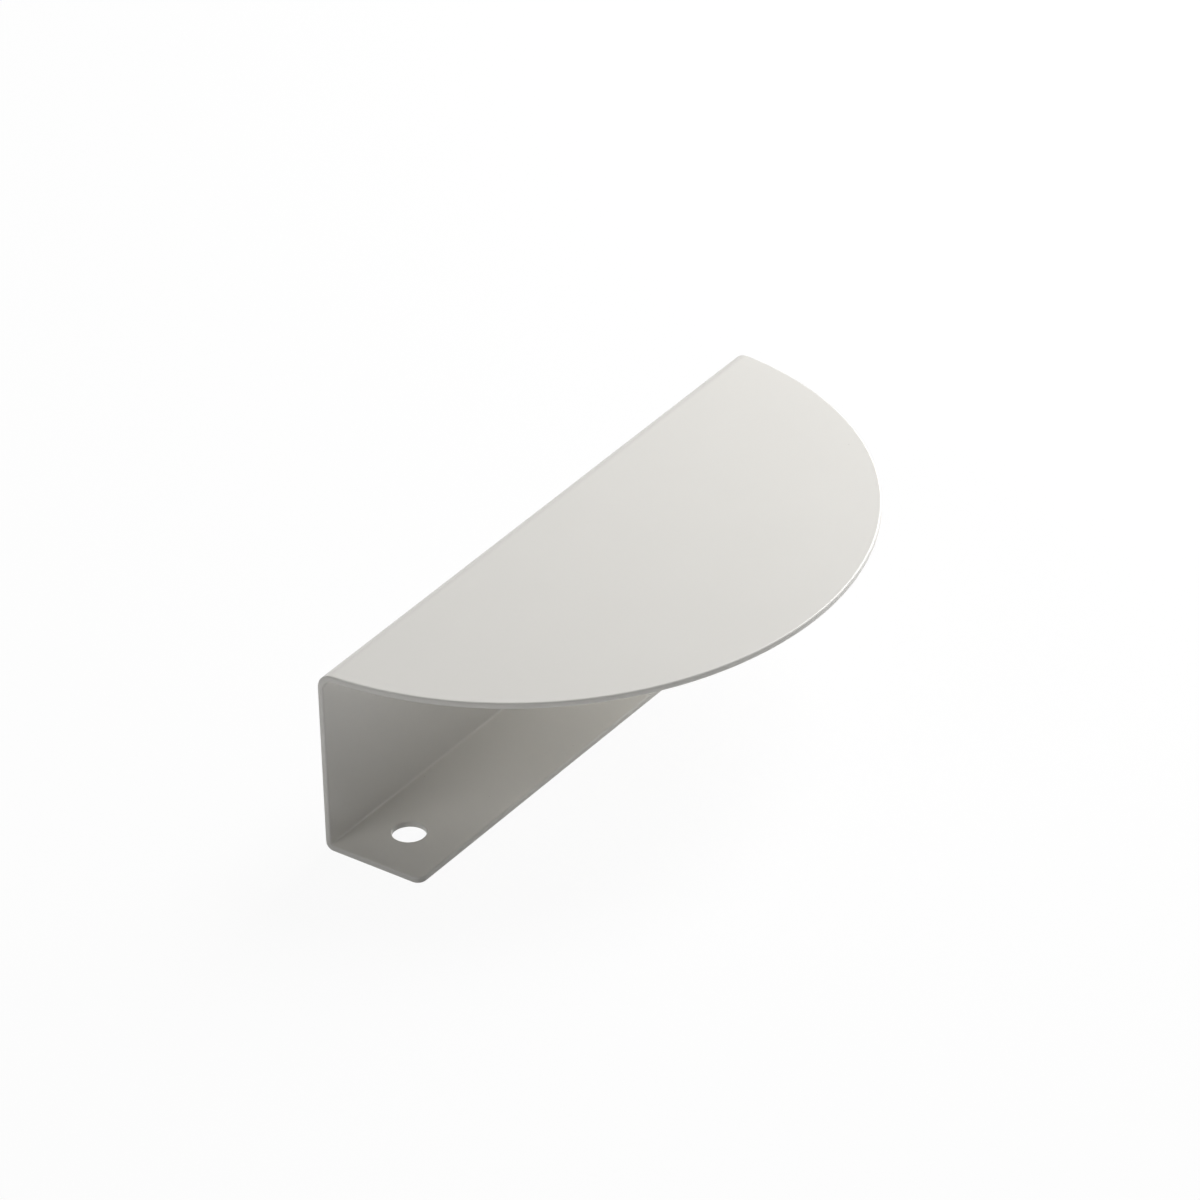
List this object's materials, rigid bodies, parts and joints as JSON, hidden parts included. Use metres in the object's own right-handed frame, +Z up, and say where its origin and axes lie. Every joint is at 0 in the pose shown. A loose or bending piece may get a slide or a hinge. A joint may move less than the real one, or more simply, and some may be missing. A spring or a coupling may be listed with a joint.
{
  "type": "tab pull",
  "caption": "Edge pull folded from one sheet of steel: a screw flange, an upright web and a half-round finger tab, with a pale powder coat.",
  "frame": {"origin": "midway between the two screw holes, on the underside of the flange", "axes": "+X runs along the folds, the half-round tab reaches towards -Y, and +Z points up from the flange to the tab"},
  "size_m": [0.1, 0.0493, 0.0295],
  "materials": {
    "powder_coat": "smooth matte powder coat, pale warm grey"
  },
  "bodies": {
    "root": {"folded_pull": "powder_coat"}
  },
  "joints": []
}
